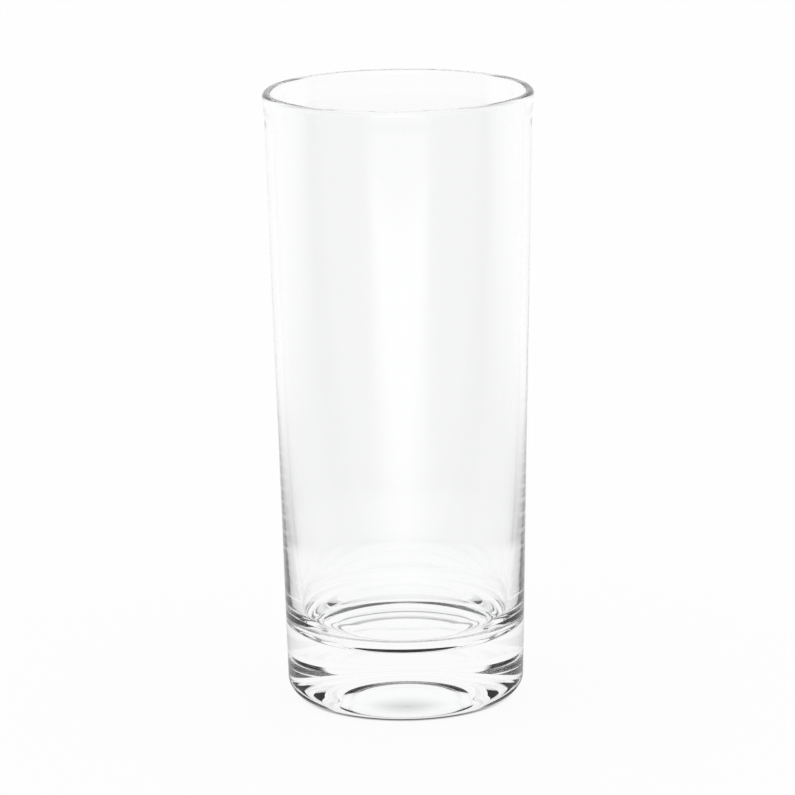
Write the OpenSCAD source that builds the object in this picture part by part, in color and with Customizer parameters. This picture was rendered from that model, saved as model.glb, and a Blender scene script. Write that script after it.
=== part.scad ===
// Highball glass: a straight, slightly tapered tumbler with a thick clear base.
// Origin at the middle of the table plane under the glass, +Z up, millimetres.

/* [Overall] */
// Height from the table to the crest of the rim
glass_h = 150; // [120:1:190]
// Outer diameter of the tapered side, carried up to the crest of the rim
mouth_d = 64.6; // [58:0.1:84]
// Outer diameter of the tapered side, carried down to the table
foot_d = 57.8; // [50:0.1:72]

/* [Rim] */
// Height of the fire-polished band at the top
rim_h = 7; // [5:0.5:14]
// How far the rim stands out past the tapered side
rim_flare = 0.45; // [0:0.05:1]
// Thickness of the rim where its rounded crest starts
rim_t = 2.2; // [1.6:0.1:3.4]
// Height of the rounded crest
crest_h = 1.5; // [0.8:0.1:2]

/* [Side wall] */
// Thickness of the side wall just under the rim
wall_t = 1.9; // [1.4:0.1:3]
// Thickness the side wall would reach at the level of the cavity floor
wall_foot_t = 4.4; // [3:0.1:5]
// How quickly the side wall thins on its way up, as an exponent
wall_thinning = 4; // [2:0.5:6]

/* [Base] */
// Height of the cavity floor above the table
floor_z = 15.5; // [12:0.1:24]
// Radius of the inner corner between the floor and the side wall
floor_fillet_r = 9; // [4:0.5:14]
// Radius of the rounded outer edge at the table
heel_r = 4.5; // [2.5:0.25:7]
// Width of the flat ring that stands on the table
bearing_w = 4; // [2:0.25:7]
// Radius of the edge between the bearing ring and the push-up
push_up_edge_r = 0.8; // [0.4:0.1:2]
// Depth of the push-up under the middle of the base
push_up_h = 7.4; // [3:0.1:9]

/* [Hidden] */
$fn = 180;
glass_tint = [0.86, 0.92, 0.92, 0.45];
curve_steps = 24;

// Tapered outer side
taper = (mouth_d - foot_d) / 2 / glass_h;
taper_angle = atan(taper);

// Heights where the three zones meet
base_top_z = floor_z + floor_fillet_r;
rim_z = glass_h - rim_h;
crest_z = glass_h - crest_h;

// Heel: tangent to the table and to the tapered side
heel_centre_r = foot_d / 2 + taper * heel_r - heel_r / cos(taper_angle);

// Push-up: a spherical hollow, blended into the bearing ring
push_up_mouth_r = heel_centre_r - bearing_w;
push_up_sphere_r = (pow(push_up_mouth_r, 2) + pow(push_up_h, 2)) / 2 / push_up_h - push_up_edge_r;
push_up_centre_z = push_up_h - push_up_sphere_r;
push_up_edge_angle = atan2(push_up_edge_r - push_up_centre_z, push_up_mouth_r);

// Floor fillet: tangent to the floor and to the inner side
fillet_angle = atan(inner_slope(base_top_z));
fillet_end_z = base_top_z - floor_fillet_r * sin(fillet_angle);
fillet_centre_r = inner_r(fillet_end_z) - floor_fillet_r * cos(fillet_angle);

// Rim crest: half an ellipse between the outer and the inner edge
crest_outer_r = outer_r(crest_z) + rim_flare;
crest_centre_r = crest_outer_r - rim_t / 2;

function outer_r(z) = foot_d / 2 + taper * z;
function wall_gain(z) = pow(max(0, (rim_z - z) / (rim_z - floor_z)), wall_thinning);
function inner_r(z) = outer_r(z) - wall_t - (wall_foot_t - wall_t) * wall_gain(z);
function inner_slope(z) = taper + (wall_foot_t - wall_t) * wall_thinning * wall_gain(z) / (rim_z - z);
function ease(t) = t * t * (3 - 2 * t);
function between(from, to, i) = from + (to - from) * i / curve_steps;

// Points of an arc, given its centre, its two radii and its first and last angle
function arc(centre, radii, from, to) = [
    for (i = [0 : curve_steps])
        let (angle = between(from, to, i))
        [centre.x + radii.x * cos(angle), centre.y + radii.y * sin(angle)]
];

// Points down the inside of the side wall, from one height to another
function inner_side(from, to) = [
    for (i = [0 : curve_steps])
        let (z = between(from, to, i))
        [inner_r(z), z]
];

// Points up the outside of the rim, easing out from the tapered side
function rim_side() = [
    for (i = [0 : curve_steps])
        let (z = between(rim_z, crest_z, i))
        [outer_r(z) + rim_flare * ease(i / curve_steps), z]
];

module turned(outline) {
    color(glass_tint)
        rotate_extrude()
            polygon(outline);
}

// Fire-polished band at the mouth
module rim() {
    turned(concat(
        rim_side(),
        arc([crest_centre_r, crest_z], [rim_t / 2, crest_h], 0, 180),
        [[inner_r(rim_z), rim_z]]
    ));
}

// Thin tapered side, thickening towards the base
module wall() {
    turned(concat(
        [[outer_r(base_top_z), base_top_z], [outer_r(rim_z), rim_z]],
        inner_side(rim_z, base_top_z)
    ));
}

// Thick foot with the cavity floor above and the push-up below
module base() {
    turned(concat(
        arc([0, push_up_centre_z], [push_up_sphere_r, push_up_sphere_r], 90, push_up_edge_angle),
        arc([push_up_mouth_r, push_up_edge_r], [push_up_edge_r, push_up_edge_r], 180 + push_up_edge_angle, 270),
        arc([heel_centre_r, heel_r], [heel_r, heel_r], -90, -taper_angle),
        [[outer_r(base_top_z), base_top_z], [inner_r(base_top_z), base_top_z]],
        arc([fillet_centre_r, base_top_z], [floor_fillet_r, floor_fillet_r], -fillet_angle, -90),
        [[0, floor_z]]
    ));
}

rim();
wall();
base();
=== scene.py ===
"""Clear highball glass with a thick base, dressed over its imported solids.

The scene is in metres in the shared frame. The glass holds its lengths in millimetres, as the solids do, and its
finish, the studio and the camera hold theirs in metres.
"""
import logging
import math
from dataclasses import dataclass, field
from enum import Enum
from typing import Any, Optional, Union

import bmesh
import bpy
from mathutils import Matrix, Vector


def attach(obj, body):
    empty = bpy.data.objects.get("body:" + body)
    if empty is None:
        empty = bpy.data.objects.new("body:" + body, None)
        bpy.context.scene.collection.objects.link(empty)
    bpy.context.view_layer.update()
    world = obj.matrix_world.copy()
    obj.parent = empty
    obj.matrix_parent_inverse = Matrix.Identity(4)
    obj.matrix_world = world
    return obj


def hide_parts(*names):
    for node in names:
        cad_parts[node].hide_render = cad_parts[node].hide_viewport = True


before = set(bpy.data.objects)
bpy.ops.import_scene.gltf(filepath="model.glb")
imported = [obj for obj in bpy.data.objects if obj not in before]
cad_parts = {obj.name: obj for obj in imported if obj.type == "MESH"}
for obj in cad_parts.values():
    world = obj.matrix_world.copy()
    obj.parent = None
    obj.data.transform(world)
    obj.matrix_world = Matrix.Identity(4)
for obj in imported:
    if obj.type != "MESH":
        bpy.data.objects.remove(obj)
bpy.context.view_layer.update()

LOG = logging.getLogger("highball_glass")
MM = 0.001
BOUNCES = 128

Term = Union["Value", float]
Point = tuple[float, float]
Ramp = tuple[float, float]


def spread(middle: float, softness: float) -> Ramp:
    """Start and end of an edge that is softened to both sides of its middle."""
    return middle - softness, middle + softness


def radians(ramp: Ramp) -> Ramp:
    """Start and end of an edge, from degrees to radians."""
    return math.radians(ramp[0]), math.radians(ramp[1])


class Ray(Enum):
    """Kinds of light ray that a studio surface tells apart."""

    CAMERA = "Is Camera Ray"
    DIFFUSE = "Is Diffuse Ray"
    GLOSSY = "Is Glossy Ray"
    THROUGH = "Is Transmission Ray"


class Value:
    """A number in a node tree; arithmetic on it adds Math nodes."""

    def __init__(self, sheet: "NodeSheet", socket: bpy.types.NodeSocket) -> None:
        """Wraps one output socket of the sheet."""
        self.sheet = sheet
        self.socket = socket

    def __add__(self, other: Term) -> "Value":
        """self + other."""
        return self.sheet.math("ADD", self, other)

    def __radd__(self, other: Term) -> "Value":
        """other + self."""
        return self.sheet.math("ADD", other, self)

    def __sub__(self, other: Term) -> "Value":
        """self - other."""
        return self.sheet.math("SUBTRACT", self, other)

    def __rsub__(self, other: Term) -> "Value":
        """other - self."""
        return self.sheet.math("SUBTRACT", other, self)

    def __mul__(self, other: Term) -> "Value":
        """self times other."""
        return self.sheet.math("MULTIPLY", self, other)

    def __rmul__(self, other: Term) -> "Value":
        """other times self."""
        return self.sheet.math("MULTIPLY", other, self)

    def __abs__(self) -> "Value":
        """Size of self without its sign."""
        return self.sheet.math("ABSOLUTE", self)

    def either(self, other: Term) -> "Value":
        """The larger of self and other."""
        return self.sheet.math("MAXIMUM", self, other)

    def rises(self, low: float, high: float) -> "Value":
        """Eases from 0 at low to 1 at high.

        Args:
            low: Where the rise starts.
            high: Where the rise ends.

        Returns:
            The eased value.
        """
        made = self.sheet.node(
            "ShaderNodeMapRange",
            {"interpolation_type": "SMOOTHSTEP"},
            {"Value": self, "From Min": low, "From Max": high},
        )
        return Value(self.sheet, made.outputs["Result"])

    def falls(self, low: float, high: float) -> "Value":
        """Eases from 1 at low to 0 at high."""
        return 1.0 - self.rises(low, high)


class NodeSheet:
    """One node tree, with a single way to add nodes and link them."""

    def __init__(self, owner: Any) -> None:
        """Empties the node tree of a material or world.

        Args:
            owner: The material or world.
        """
        owner.use_nodes = True
        self.tree = owner.node_tree
        self.tree.nodes.clear()

    def feed(self, socket: bpy.types.NodeSocket, term: Any) -> None:
        """Links a value or socket to an input, or sets the input's own number.

        Args:
            socket: The input.
            term: A Value, an output socket, or a plain setting.
        """
        if isinstance(term, Value):
            self.tree.links.new(term.socket, socket)
        elif isinstance(term, bpy.types.NodeSocket):
            self.tree.links.new(term, socket)
        else:
            socket.default_value = term

    def node(
        self, kind: str, settings: Optional[dict[str, Any]] = None, inputs: Optional[dict[Any, Any]] = None
    ) -> bpy.types.Node:
        """Adds a node, sets it up and then fills its inputs.

        Args:
            kind: Blender's type name of the node.
            settings: Attributes to set first.
            inputs: Terms for the inputs, by name or place.

        Returns:
            The new node.
        """
        made = self.tree.nodes.new(kind)
        for name, setting in (settings or {}).items():
            setattr(made, name, setting)
        for key, term in (inputs or {}).items():
            self.feed(made.inputs[key], term)
        return made

    def math(self, operation: str, *terms: Term) -> Value:
        """Adds a Math node.

        Args:
            operation: Blender's name of the operation.
            terms: Its one or two operands.

        Returns:
            The result.
        """
        made = self.node("ShaderNodeMath", {"operation": operation}, dict(enumerate(terms)))
        return Value(self, made.outputs[0])

    def axes(self, vector: bpy.types.NodeSocket) -> tuple[Value, Value, Value]:
        """Splits a vector into its three numbers."""
        made = self.node("ShaderNodeSeparateXYZ", inputs={0: vector})
        return tuple(Value(self, out) for out in made.outputs)

    def ray(self, kind: Ray) -> Value:
        """1 for rays of this kind, 0 for the others."""
        return Value(self, self.node("ShaderNodeLightPath").outputs[kind.value])

    def mirrored_times(self) -> Value:
        """How often a glass surface has mirrored the light on its way."""
        return Value(self, self.node("ShaderNodeLightPath").outputs["Glossy Depth"])

    def mirrored(self) -> Value:
        """1 for light that a glass surface has mirrored on its way, 0 for light that only passed through."""
        return self.math("MINIMUM", self.mirrored_times(), 1.0)

    def passed_times(self) -> Value:
        """How often the light has passed through a glass surface on its way."""
        return Value(self, self.node("ShaderNodeLightPath").outputs["Transmission Depth"])

    def entered(self) -> Value:
        """1 for light that has been inside the glass, 0 for light that has not."""
        return self.math("MINIMUM", self.passed_times(), 1.0)

    def noise(self, vector: bpy.types.NodeSocket, scale: float, detail: float) -> Value:
        """Soft noise over a coordinate.

        Args:
            vector: Coordinate socket.
            scale: Features per metre.
            detail: Octaves of finer noise on top.

        Returns:
            Values from about 0 to 1.
        """
        made = self.node("ShaderNodeTexNoise", inputs={"Vector": vector, "Scale": scale, "Detail": detail})
        return Value(self, made.outputs[0])


class OutlinePen:
    """Draws a half outline in the XZ plane of a bmesh, each stroke going on from the last."""

    def __init__(self, mesh: bmesh.types.BMesh, start: Point) -> None:
        """Puts the pen down.

        Args:
            mesh: The bmesh to draw in.
            start: Radius and height of the first point.
        """
        self.mesh = mesh
        self.tip = mesh.verts.new((start[0], 0.0, start[1]))

    def line(self, to: Point, steps: int) -> list[bmesh.types.BMVert]:
        """Draws a straight stroke.

        Args:
            to: Radius and height of its end.
            steps: Edges that make it up, all of one length.

        Returns:
            The points of the stroke after its first.
        """
        begin, end = self.tip.co.copy(), Vector((to[0], 0.0, to[1]))
        made = []
        for step in range(1, steps + 1):
            self.tip = bmesh.ops.extrude_vert_indiv(self.mesh, verts=[self.tip])["verts"][0]
            self.tip.co = begin.lerp(end, step / steps)
            made.append(self.tip)
        return made

    def straight(self, to: Point, guard: float = 0.3) -> None:
        """Draws a straight stroke of three edges, the outer two short, so that its shading stays straight too.

        Args:
            to: Radius and height of its end.
            guard: Length of the short edges.
        """
        begin, end = self.tip.co.copy(), Vector((to[0], 0.0, to[1]))
        near = guard / (end - begin).length
        for share in (near, 1.0 - near, 1.0):
            point = begin.lerp(end, share)
            self.line((point.x, point.z), 1)

    def turn(self, centre: Point, sweep: float, steps: int, stretch: float = 1.0) -> None:
        """Draws an arc of a circle, or of an upright oval.

        Args:
            centre: Radius and height of its centre.
            sweep: Degrees turned, counter-clockwise as seen with the radius to the right.
            steps: Chords that make it up.
            stretch: Height of the oval over its width.
        """
        begin = self.tip
        known = set(self.mesh.verts) - {begin}
        begin.co.z = centre[1] + (begin.co.z - centre[1]) / stretch
        made = bmesh.ops.spin(
            self.mesh,
            geom=[begin],
            cent=(centre[0], 0.0, centre[1]),
            axis=(0.0, -1.0, 0.0),
            angle=math.radians(sweep),
            steps=steps,
        )
        self.tip = next(v for v in made["geom_last"] if isinstance(v, bmesh.types.BMVert))
        bmesh.ops.scale(
            self.mesh,
            vec=(1.0, 1.0, stretch),
            space=Matrix.Translation((0.0, 0.0, -centre[1])),
            verts=[v for v in self.mesh.verts if v not in known],
        )


@dataclass(frozen=True)
class ClearGlass:
    """Finish of fire-polished soda-lime glass with a worn bearing ring, its lengths in metres."""

    tint: tuple[float, float, float, float] = (0.994, 0.997, 0.996, 1.0)
    ior: float = 1.52
    wave_per_m: float = 38.0
    wave_depth: float = 0.0000035
    wave_detail: float = 1.0
    scuff_per_m: float = 2600.0
    scuff_detail: float = 3.0
    scuff_patches: Ramp = (0.45, 0.7)
    scuff_top: float = 0.0007
    scuff_roughness: float = 0.22

    def material(self) -> bpy.types.Material:
        """Makes the material.

        Returns:
            A refracting material with a faint waviness, scuffed where the glass stands.
        """
        made = bpy.data.materials.new("clear_glass")
        sheet = NodeSheet(made)
        place = sheet.node("ShaderNodeTexCoord").outputs["Object"]
        _, _, height = sheet.axes(place)
        scuffs = sheet.noise(place, self.scuff_per_m, self.scuff_detail).rises(*self.scuff_patches)
        worn = height.falls(0.0, self.scuff_top) * scuffs
        swell = sheet.noise(place, self.wave_per_m, self.wave_detail)
        wave = sheet.node(
            "ShaderNodeBump",
            inputs={"Strength": 1.0, "Distance": self.wave_depth, "Height": swell},
        )
        shader = sheet.node(
            "ShaderNodeBsdfPrincipled",
            inputs={
                "Base Color": self.tint,
                "IOR": self.ior,
                "Transmission Weight": 1.0,
                "Roughness": worn * self.scuff_roughness,
                "Normal": wave.outputs["Normal"],
            },
        )
        sheet.node("ShaderNodeOutputMaterial", inputs={"Surface": shader.outputs[0]})
        return made


@dataclass
class HighballGlass:
    """The one piece of glass: rim, side wall and thick base, turned from a single outline."""

    glass_h: float = 150.0
    mouth_d: float = 64.6
    foot_d: float = 57.8
    rim_h: float = 7.0
    rim_flare: float = 0.45
    rim_t: float = 2.2
    crest_h: float = 1.5
    wall_t: float = 1.9
    wall_foot_t: float = 4.4
    wall_thinning: float = 4.0
    floor_z: float = 15.5
    floor_r: float = 16.66
    corner_h: float = 9.0
    heel_r: float = 4.5
    bearing_w: float = 4.0
    push_up_edge_r: float = 0.8
    push_up_h: float = 7.4
    push_up_steps: int = 32
    push_up_edge_steps: int = 10
    heel_steps: int = 26
    flare_steps: int = 14
    crest_steps: int = 26
    wall_steps: int = 40
    corner_steps: int = 36
    turns: int = 480
    merge_gap: float = 0.0005
    finish: ClearGlass = field(default_factory=ClearGlass)

    @property
    def taper(self) -> float:
        """Outward lean of the side, as radius over height."""
        return (self.mouth_d - self.foot_d) / 2 / self.glass_h

    @property
    def rim_z(self) -> float:
        """Height where the rim starts."""
        return self.glass_h - self.rim_h

    def outer_r(self, z: float) -> float:
        """Outer radius of the tapered side at a height."""
        return self.foot_d / 2 + self.taper * z

    def wall_gain(self, z: float) -> float:
        """Share of the extra thickness that the side wall has at a height."""
        return max(0.0, (self.rim_z - z) / (self.rim_z - self.floor_z)) ** self.wall_thinning

    def inner_r(self, z: float) -> float:
        """Inner radius of the side wall at a height."""
        return self.outer_r(z) - self.wall_t - (self.wall_foot_t - self.wall_t) * self.wall_gain(z)

    def inner_slope(self, z: float) -> float:
        """Outward lean of the side wall's inside at a height, as radius over height."""
        extra = (self.wall_foot_t - self.wall_t) * self.wall_thinning * self.wall_gain(z) / (self.rim_z - z)
        return self.taper + extra

    def draw_base(self, pen: OutlinePen) -> None:
        """Draws the push-up, the bearing ring and the heel, from the axis outwards.

        Args:
            pen: Pen that stands on the axis at the top of the push-up.
        """
        lean = math.degrees(math.atan(self.taper))
        heel_centre = self.foot_d / 2 + self.taper * self.heel_r - self.heel_r / math.cos(math.atan(self.taper))
        mouth_r = heel_centre - self.bearing_w
        sphere_r = (mouth_r ** 2 + self.push_up_h ** 2) / 2 / self.push_up_h - self.push_up_edge_r
        sphere_z = self.push_up_h - sphere_r
        edge = math.degrees(math.atan2(self.push_up_edge_r - sphere_z, mouth_r))
        pen.turn((0.0, sphere_z), edge - 90, self.push_up_steps)
        pen.turn((mouth_r, self.push_up_edge_r), 90 - edge, self.push_up_edge_steps)
        pen.straight((heel_centre, 0.0))
        pen.turn((heel_centre, self.heel_r), 90 - lean, self.heel_steps)

    def draw_side(self, pen: OutlinePen) -> None:
        """Draws the outside of the wall, the rim's flare and crest, and the inside of the rim.

        Args:
            pen: Pen that stands at the top of the heel.
        """
        crest_z = self.glass_h - self.crest_h
        crest_r = self.outer_r(crest_z) + self.rim_flare
        pen.straight((self.outer_r(self.rim_z), self.rim_z))
        for vert in pen.line((crest_r, crest_z), self.flare_steps):
            share = (vert.co.z - self.rim_z) / (crest_z - self.rim_z)
            vert.co.x = self.outer_r(vert.co.z) + self.rim_flare * share * share * (3 - 2 * share)
        half_t = self.rim_t / 2
        pen.turn((crest_r - half_t, crest_z), 180, self.crest_steps, self.crest_h / half_t)
        pen.straight((self.inner_r(self.rim_z), self.rim_z))

    def draw_cavity(self, pen: OutlinePen) -> None:
        """Draws the inside of the wall, the rounded corner and the floor, down to the axis.

        Args:
            pen: Pen that stands at the foot of the rim's inside.
        """
        base_top_z = self.floor_z + self.corner_h
        corner_w = self.inner_r(base_top_z) - self.floor_r
        lean = math.atan(self.corner_h / corner_w * self.inner_slope(base_top_z))
        end_z = base_top_z - self.corner_h * math.sin(lean)
        end_r = self.floor_r + corner_w * math.cos(lean)
        for vert in pen.line((end_r, end_z), self.wall_steps):
            vert.co.x = self.inner_r(vert.co.z)
        pen.tip.co.x = end_r
        turned = math.degrees(lean) - 90
        pen.turn((self.floor_r, base_top_z), turned, self.corner_steps, self.corner_h / corner_w)
        pen.straight((0.0, self.floor_z))

    def build(self) -> bpy.types.Object:
        """Turns the outline into the closed glass.

        Returns:
            The glass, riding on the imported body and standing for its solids.
        """
        shape = bmesh.new()
        pen = OutlinePen(shape, (0.0, self.push_up_h))
        self.draw_base(pen)
        self.draw_side(pen)
        self.draw_cavity(pen)
        bmesh.ops.spin(
            shape,
            geom=shape.verts[:] + shape.edges[:],
            cent=(0.0, 0.0, 0.0),
            axis=(0.0, 0.0, 1.0),
            angle=math.tau,
            steps=self.turns,
            use_merge=True,
        )
        bmesh.ops.remove_doubles(shape, verts=shape.verts, dist=self.merge_gap)
        bmesh.ops.recalc_face_normals(shape, faces=shape.faces)
        bmesh.ops.scale(shape, vec=(MM, MM, MM), verts=shape.verts)
        for face in shape.faces:
            face.smooth = True
        mesh = bpy.data.meshes.new("highball_glass")
        shape.to_mesh(mesh)
        shape.free()
        piece = bpy.data.objects.new("highball_glass", mesh)
        bpy.context.scene.collection.objects.link(piece)
        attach(piece, "root")
        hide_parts("rim", "wall", "base")
        return piece

    def dress(self, piece: bpy.types.Object) -> None:
        """Gives the glass its finish."""
        piece.data.materials.append(self.finish.material())


@dataclass(frozen=True)
class PaintedDeepShade:
    """Painted shade for light that is mirrored many times inside the glass: the room and the floor show dark instead
    of the white set.

    The ramps count mirrorings. Light that the wall pipes from one end to the other stays bright.
    """

    often: Ramp = (3.0, 4.0)
    always: Ramp = (5.0, 6.0)
    painted_darkness: float = 0.98

    def left(self, sheet: NodeSheet, front: Value, piped: Value) -> Value:
        """Works out how much of the light the painted shade leaves.

        Args:
            sheet: The node tree to add to.
            front: 1 in front of the glass, where light that is mirrored often is painted dark, 0 behind it.
            piped: 1 for light that the wall has piped, 0 for the rest.

        Returns:
            Share of the light that is left.
        """
        times = sheet.mirrored_times()
        shaded = (times.rises(*self.often) * front).either(times.rises(*self.always))
        return 1.0 - shaded * (1.0 - piped) * self.painted_darkness


@dataclass
class StudioRoom:
    """The world: white for the camera, even for matt surfaces, and white panels round the glass.

    Angles are degrees, round the glass from behind it or up from the horizon. Four dark gaps stand between the
    panels, below a canopy, and show only in what is seen straight through the glass.
    """

    gap_angle: float = 49.0
    gap_half_w: float = 16.0
    gap_softness: float = 3.0
    canopy: Ramp = (44.0, 72.0)
    zenith: Ramp = (42.0, 84.0)
    zenith_dim: float = 0.35
    front: Ramp = (67.0, 83.0)
    piped_times: Ramp = (50.0, 70.0)
    piped_height: Ramp = (22.0, 32.0)
    trapped: PaintedDeepShade = field(default_factory=PaintedDeepShade)

    def panels(self, sheet: NodeSheet, around: Value, height: Value) -> Value:
        """Draws the panels and the canopy.

        Args:
            sheet: The world's node tree.
            around: Angle round the glass, from behind it.
            height: Angle above the horizon.

        Returns:
            Brightness of the room.
        """
        aside = math.radians(90.0)
        from_gap = abs(abs(around - aside) - math.radians(90.0 - self.gap_angle))
        lit = from_gap.rises(*radians(spread(self.gap_half_w, self.gap_softness)))
        lit = lit.either(sheet.mirrored()).either(height.rises(*radians(self.canopy)))
        return lit * (1.0 - self.zenith_dim * height.rises(*radians(self.zenith)))

    def light(self) -> bpy.types.World:
        """Makes the world.

        Returns:
            The world, set as the scene's own.
        """
        world = bpy.data.worlds.new("studio")
        sheet = NodeSheet(world)
        x, y, z = sheet.axes(sheet.node("ShaderNodeTexCoord").outputs["Generated"])
        around = abs(sheet.math("ARCTAN2", x, y))
        height = sheet.math("ARCSINE", z)
        piped = sheet.mirrored_times().rises(*self.piped_times) * height.falls(*radians(self.piped_height))
        seen = self.panels(sheet, around, height)
        # painted shade: the world turns dark for light mirrored many times
        seen = seen * self.trapped.left(sheet, around.rises(*radians(self.front)), piped)
        level = sheet.ray(Ray.CAMERA).either(sheet.ray(Ray.DIFFUSE)).either(seen)
        shader = sheet.node("ShaderNodeBackground", inputs={"Color": level, "Strength": 1.0})
        sheet.node("ShaderNodeOutputWorld", inputs={"Surface": shader.outputs[0]})
        bpy.context.scene.world = world
        return world


@dataclass
class PaperFloor:
    """The floor of white paper, and what the glass shows of it.

    Lengths are metres from the axis of the glass, or ahead of it, towards -Y. Seen straight through the glass the
    paper is white, with painted shade lines where the ring that the glass stands on lifts off. Mirrored by the glass
    it is white behind and close by, has painted shade that darkens it towards the front, and has a painted light
    strip that widens ahead of the glass. Mirrored just once it also has painted shade under the hollow and round the
    foot.
    For the camera it has a painted shadow under the heel.
    """

    half_w: float = 20.0
    drop: float = 0.00001
    paper: float = 0.9
    camera_glow: float = 0.92
    # painted light strip ahead of the glass and painted shade towards the front, in what the glass mirrors
    strip_lean: float = 0.58
    strip_softness: float = 0.15
    strip_near: Ramp = (0.07, 0.14)
    strip_far: Ramp = (0.6, 1.1)
    front_level: float = 0.5
    near_r: Ramp = (0.1, 0.14)
    behind_softness: float = 0.3
    # painted shade lines on the floor where the ring that the glass stands on lifts off, seen straight through the
    # glass
    ring_r: tuple[float, float] = (0.0205, 0.0242)
    ring_half_w: tuple[float, float] = (0.0004, 0.0008)
    ring_painted_shade: tuple[float, float] = (0.7, 0.9)
    # painted shadow under the heel, drawn on the floor for the camera, darkest in front and fainter all round
    shadow_r: Ramp = (0.0256, 0.0272)
    shadow_front: Ramp = (0.006, 0.024)
    shadow_round: float = 0.35
    painted_shadow_dark: float = 0.9
    # painted shade under the hollow and round the foot, in what the glass mirrors once
    hollow_shade_r: Ramp = (0.0145, 0.016)
    foot_r: Ramp = (0.0275, 0.0285)
    foot_shade_r: Ramp = (0.0285, 0.035)
    foot_shade: float = 0.8
    trapped_ahead: Ramp = (0.05, 0.07)
    piped_times: Ramp = (3.0, 4.0)
    piped_r: Ramp = (0.0265, 0.0285)
    trapped: PaintedDeepShade = field(default_factory=PaintedDeepShade)

    def straight(self, out: Value) -> Value:
        """The paper as it shows straight through the glass, with painted shade lines where the ring lifts off.

        Args:
            out: Distance from the axis.

        Returns:
            Its brightness.
        """
        seen: Term = 1.0
        for middle, half_w, dark in zip(self.ring_r, self.ring_half_w, self.ring_painted_shade):
            seen = seen - abs(out - middle).falls(0.0, half_w) * dark
        return seen

    def mirrored(self, sheet: NodeSheet, aside: Value, ahead: Value, out: Value) -> Value:
        """The paper as the glass mirrors it, with a painted light strip ahead, painted shade towards the front, and
        painted shade under the hollow and round the foot.

        Args:
            sheet: The floor's node tree.
            aside: Distance to the side of the glass.
            ahead: Distance ahead of the glass.
            out: Distance from the axis.

        Returns:
            Its brightness.
        """
        # painted light: a white strip that widens ahead of the glass
        start = ahead.rises(*self.strip_near)
        strip = (aside - ahead * self.strip_lean).falls(*spread(0.0, self.strip_softness))
        strip = strip * start * ahead.falls(*self.strip_far)
        near = out.falls(*self.near_r) * sheet.entered()
        # painted shade: the paper darkens towards the front, outside the strip and close by
        behind = ahead.falls(*spread(0.0, self.behind_softness))
        seen = behind.either(strip).either(near).either(start * self.front_level)
        times = sheet.mirrored_times()
        once = 1.0 - sheet.math("MINIMUM", abs(times - 1.0), 1.0)
        foot = out.rises(*self.foot_r) * out.falls(*self.foot_shade_r) * self.foot_shade
        # painted shade under the hollow and round the foot, for light mirrored once
        seen = seen * (1.0 - out.falls(*self.hollow_shade_r).either(foot) * once)
        piped = times.rises(*self.piped_times) * out.falls(*self.piped_r)
        # painted shade: the paper turns dark for light mirrored many times
        return seen * self.trapped.left(sheet, ahead.rises(*self.trapped_ahead), piped)

    def painted_heel_shadow(self, ahead: Value, out: Value) -> Value:
        """The paper as the camera sees it, with a painted shadow under the heel, which is darkest in front.

        Args:
            ahead: Distance ahead of the glass.
            out: Distance from the axis.

        Returns:
            Its brightness.
        """
        # painted shadow: a ring round the foot, darkest ahead of the glass
        painted_below = out.falls(*self.shadow_r) * ahead.rises(*self.shadow_front).either(self.shadow_round)
        return 1.0 - painted_below * self.painted_shadow_dark

    def material(self) -> bpy.types.Material:
        """Makes the paper.

        Returns:
            Matt white paper that glows with painted shade, light and shadow for the camera and the glass, and shows
            the camera little of its cast shadow.
        """
        made = bpy.data.materials.new("white_paper")
        sheet = NodeSheet(made)
        x, y, _ = sheet.axes(sheet.node("ShaderNodeTexCoord").outputs["Object"])
        ahead = y * -1.0
        out = sheet.math("SQRT", x * x + y * y)
        camera = sheet.ray(Ray.CAMERA)
        glass = sheet.ray(Ray.THROUGH).either(sheet.ray(Ray.GLOSSY))
        through = self.straight(out)
        # what the glass sees: painted shade lines straight through, painted light and shade where it mirrors
        seen = through + (self.mirrored(sheet, abs(x), ahead, out) - through) * sheet.mirrored()
        # what the camera sees: the painted shadow under the heel
        seen = seen + (self.painted_heel_shadow(ahead, out) - seen) * camera
        paper = sheet.node("ShaderNodeBsdfDiffuse", inputs={"Color": (self.paper,) * 3 + (1.0,)})
        glow = sheet.node("ShaderNodeEmission", inputs={"Color": seen, "Strength": 1.0})
        # the camera sees 92 percent of the glow with its painted shadow and 8 percent of the lit paper with the cast
        # shadow
        lit = camera * self.camera_glow + glass
        shader = sheet.node("ShaderNodeMixShader", inputs={0: lit, 1: paper.outputs[0], 2: glow.outputs[0]})
        sheet.node("ShaderNodeOutputMaterial", inputs={"Surface": shader.outputs[0]})
        return made

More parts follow.
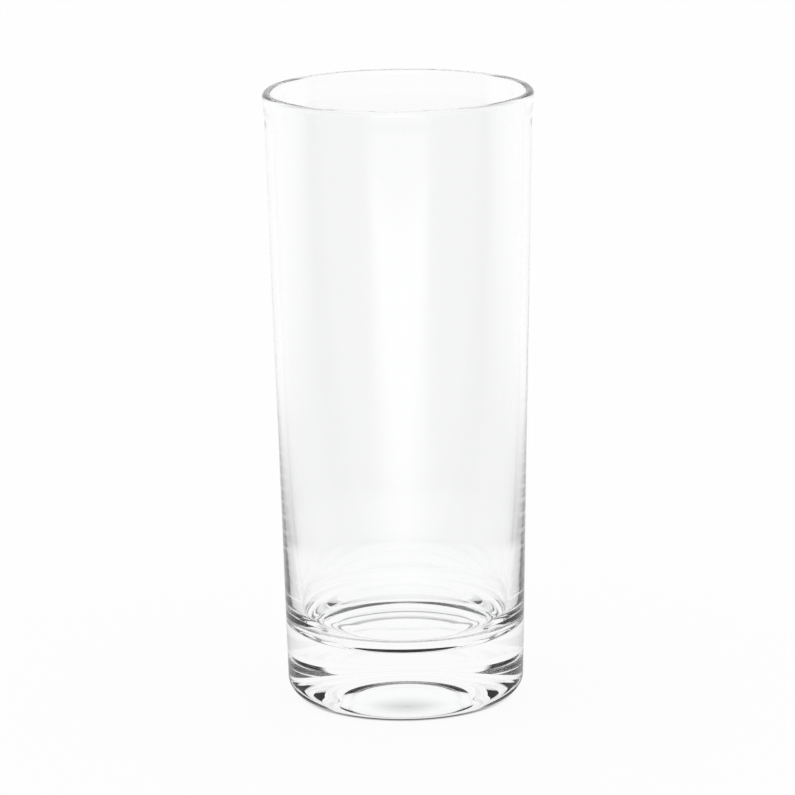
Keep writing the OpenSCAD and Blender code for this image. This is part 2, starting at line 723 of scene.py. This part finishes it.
    def build(self) -> bpy.types.Object:
        """Lays the floor.

        Returns:
            The floor.
        """
        shape = bmesh.new()
        bmesh.ops.create_grid(
            shape,
            x_segments=1,
            y_segments=1,
            size=self.half_w,
            matrix=Matrix.Translation((0.0, 0.0, -self.drop)),
        )
        mesh = bpy.data.meshes.new("studio_floor")
        shape.to_mesh(mesh)
        shape.free()
        mesh.materials.append(self.material())
        floor = bpy.data.objects.new("studio_floor", mesh)
        bpy.context.scene.collection.objects.link(floor)
        return floor


@dataclass
class StudioCamera:
    """Long lens that looks down on the glass a little, rolled and shifted as the picture is."""

    image_px: float = 795.0
    focal_px: float = 4308.0
    sensor_mm: float = 36.0
    distance: float = 1.05
    aim_z: float = 0.075
    look_down: float = 13.263
    roll: float = 0.79
    shift_px: Point = (-4.54, -3.89)
    clip_start: float = 0.01

    def build(self) -> bpy.types.Object:
        """Makes the scene's camera.

        Returns:
            The camera object.
        """
        data = bpy.data.cameras.new("studio_camera")
        data.sensor_width = self.sensor_mm
        data.lens = self.focal_px / self.image_px * self.sensor_mm
        data.shift_x, data.shift_y = (shift / self.image_px for shift in self.shift_px)
        data.clip_start = self.clip_start
        camera = bpy.data.objects.new("studio_camera", data)
        down = math.radians(self.look_down)
        back = Vector((0.0, -math.cos(down), math.sin(down)))
        right = Vector((1.0, 0.0, 0.0))
        turned = Matrix((right, back.cross(right), back)).transposed()
        turned = turned @ Matrix.Rotation(math.radians(-self.roll), 3, "Z")
        camera.rotation_mode = "QUATERNION"
        camera.rotation_quaternion = turned.to_quaternion()
        camera.location = Vector((0.0, 0.0, self.aim_z)) + back * self.distance
        bpy.context.scene.collection.objects.link(camera)
        bpy.context.scene.camera = camera
        return camera


def set_view() -> None:
    """Sets the colour view, and how many times light may be mirrored by the glass or pass through it."""
    scene = bpy.context.scene
    scene.view_settings.view_transform = "Standard"
    scene.cycles.max_bounces = BOUNCES
    scene.cycles.transmission_bounces = BOUNCES
    scene.cycles.glossy_bounces = BOUNCES


def main() -> None:
    """Builds the camera, the studio and the glass in order."""
    logging.basicConfig(level=logging.INFO, format="%(name)s: %(message)s")
    set_view()
    LOG.info("camera %s", StudioCamera().build().name)
    LOG.info("world %s", StudioRoom().light().name)
    LOG.info("stage %s", PaperFloor().build().name)
    glass = HighballGlass()
    piece = glass.build()
    glass.dress(piece)
    LOG.info("piece %s: %d faces", piece.name, len(piece.data.polygons))


if __name__ == "__main__":
    main()
